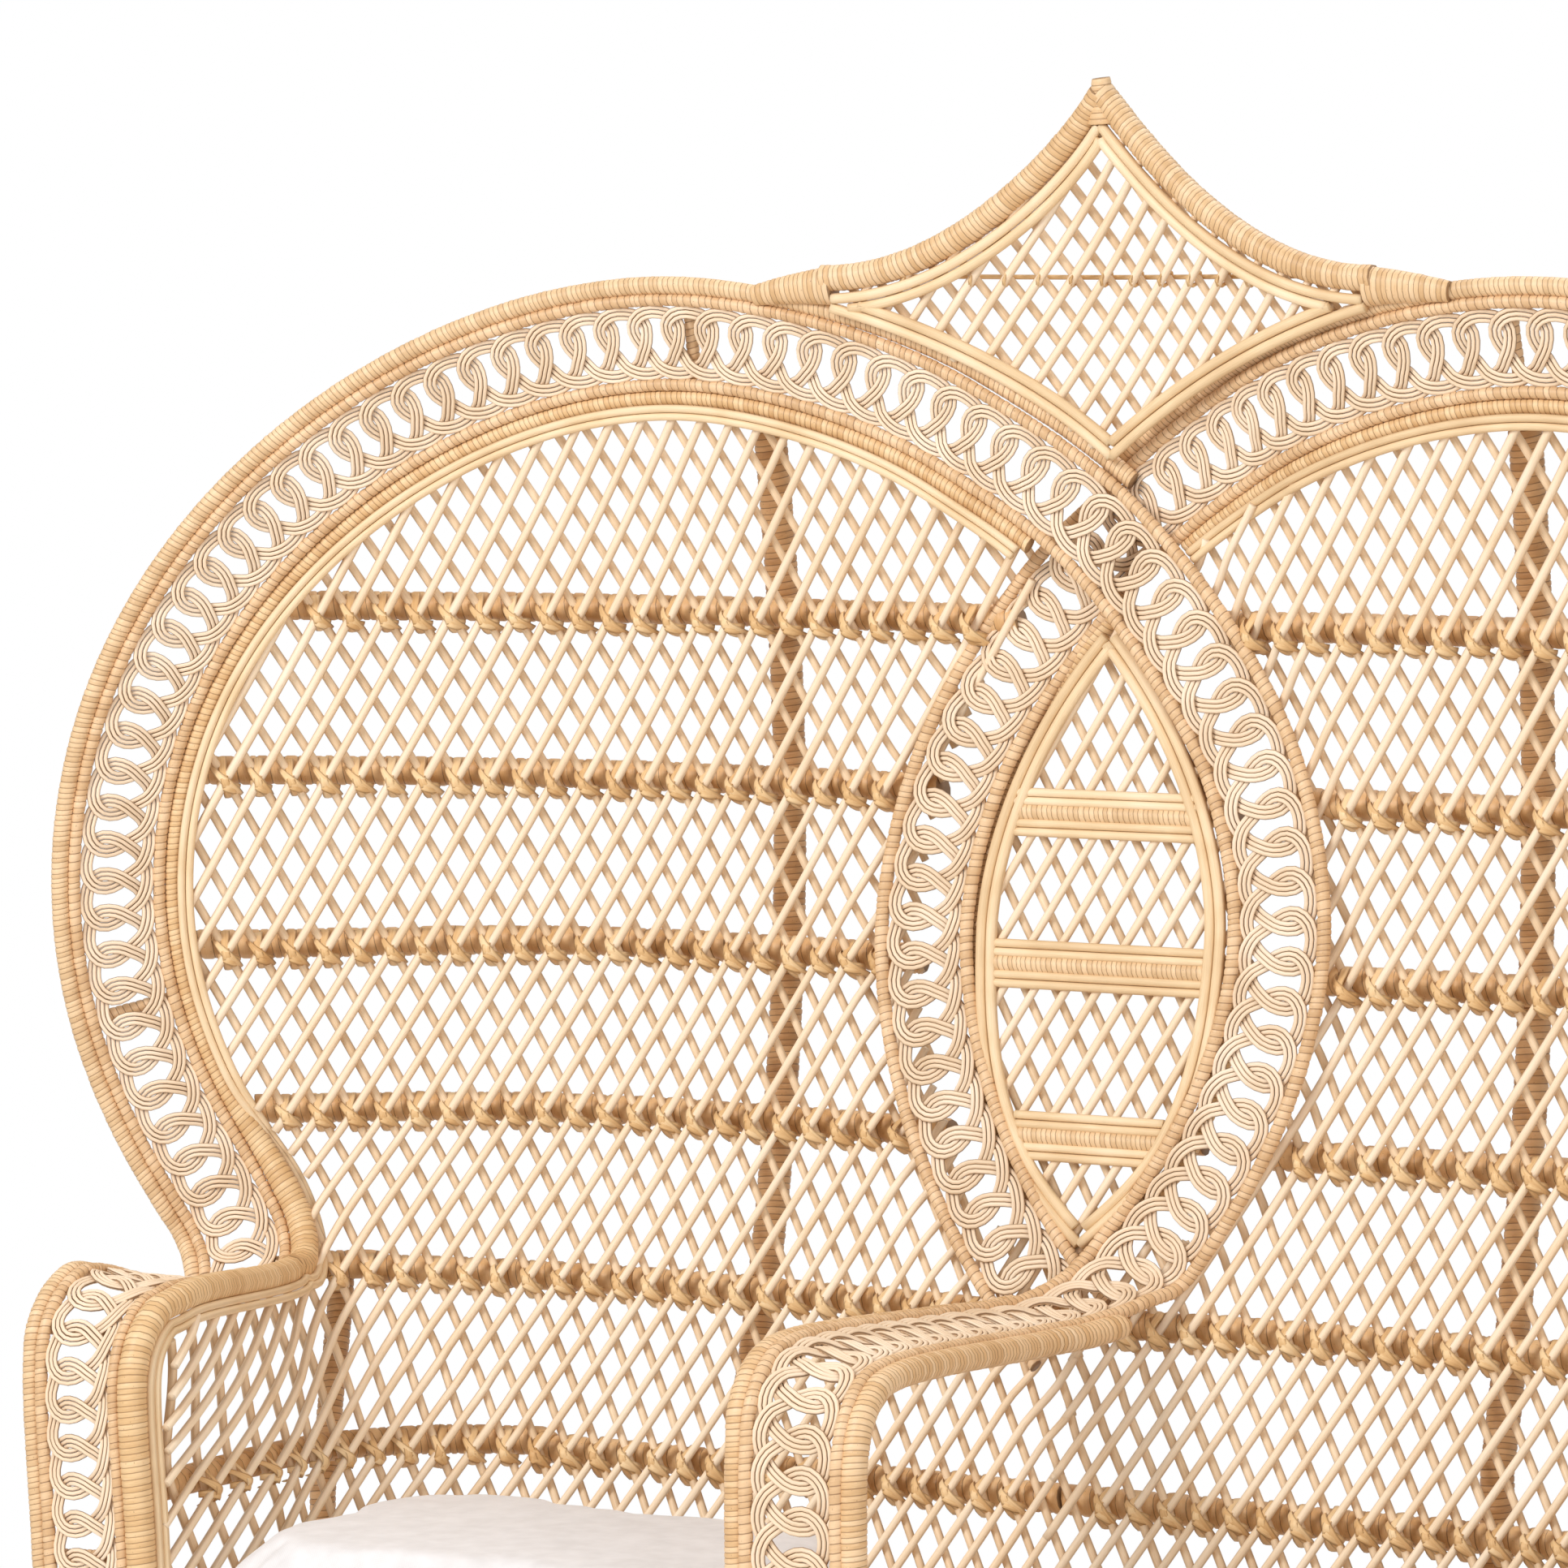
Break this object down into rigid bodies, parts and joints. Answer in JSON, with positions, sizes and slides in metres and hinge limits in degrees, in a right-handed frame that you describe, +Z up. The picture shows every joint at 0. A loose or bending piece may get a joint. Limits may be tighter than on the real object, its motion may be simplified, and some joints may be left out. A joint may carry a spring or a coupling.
{
  "type": "peacock chair",
  "caption": "Two-seat peacock chair in wrapped rattan with overlapping round lattice backs, looped borders, a pointed crown and loose cushions.",
  "frame": {"origin": "on the floor, under the middle of the overall box", "axes": "+Z up, the seats face -Y, +X is to the right of someone who looks at the front"},
  "size_m": [1.6542, 0.5388, 1.5174],
  "materials": {
    "wrapped_rattan": "satin peel wound round poles",
    "rattan_core": "matt round cores",
    "cushion_cloth": "plain weave"
  },
  "bodies": {
    "frame": {"almond_bar_1": "rattan_core", "almond_bar_2": "rattan_core", "almond_bar_3": "rattan_core", "almond_lattice": "rattan_core", "almond_moulding": "rattan_core", "almond_rail_1": "wrapped_rattan", "almond_rail_2": "wrapped_rattan", "almond_rail_3": "wrapped_rattan", "centre_arm_left_rail": "wrapped_rattan", "centre_arm_right_rail": "wrapped_rattan", "crown_cane": "rattan_core", "crown_lattice": "wrapped_rattan", "crown_moulding": "rattan_core", "floor_ring_right": "wrapped_rattan", "floor_ring_back": "wrapped_rattan", "floor_ring_left": "wrapped_rattan", "floor_ring_front": "wrapped_rattan", "left_arm_inner_rail": "wrapped_rattan", "left_arm_lattice": "rattan_core", "left_back_lattice": "rattan_core", "left_back_post": "wrapped_rattan", "left_crown_joint": "wrapped_rattan", "left_inner_binding": "wrapped_rattan", "left_leg_1": "wrapped_rattan", "left_leg_2": "wrapped_rattan", "left_leg_3": "wrapped_rattan", "left_looped_border": "rattan_core", "left_moulding": "rattan_core", "left_outer_binding": "wrapped_rattan", "left_outer_rim": "wrapped_rattan", "left_seat_deck": "rattan_core", "left_side_post": "wrapped_rattan", "right_arm_inner_rail": "wrapped_rattan", "right_arm_lattice": "rattan_core", "right_back_lattice": "rattan_core", "right_back_post": "wrapped_rattan", "right_crown_joint": "wrapped_rattan", "right_inner_binding": "wrapped_rattan", "right_leg_1": "wrapped_rattan", "right_leg_2": "wrapped_rattan", "right_leg_3": "wrapped_rattan", "right_looped_border": "rattan_core", "right_moulding": "rattan_core", "right_outer_binding": "wrapped_rattan", "right_outer_rim": "wrapped_rattan", "right_seat_deck": "rattan_core", "right_side_post": "wrapped_rattan", "seat_ring_right": "wrapped_rattan", "seat_ring_back": "wrapped_rattan", "seat_ring_left": "wrapped_rattan", "seat_ring_front": "wrapped_rattan"},
    "left_seat_cushion": {"left_cushion": "cushion_cloth"},
    "right_seat_cushion": {"right_cushion": "cushion_cloth"}
  },
  "joints": [
    {"name": "left_cushion_lift", "type": "slide", "parent": "frame", "child": "left_seat_cushion", "axis": [0, 0, 1], "range_m": [0, 0.25]},
    {"name": "right_cushion_lift", "type": "slide", "parent": "frame", "child": "right_seat_cushion", "axis": [0, 0, 1], "range_m": [0, 0.25]}
  ]
}
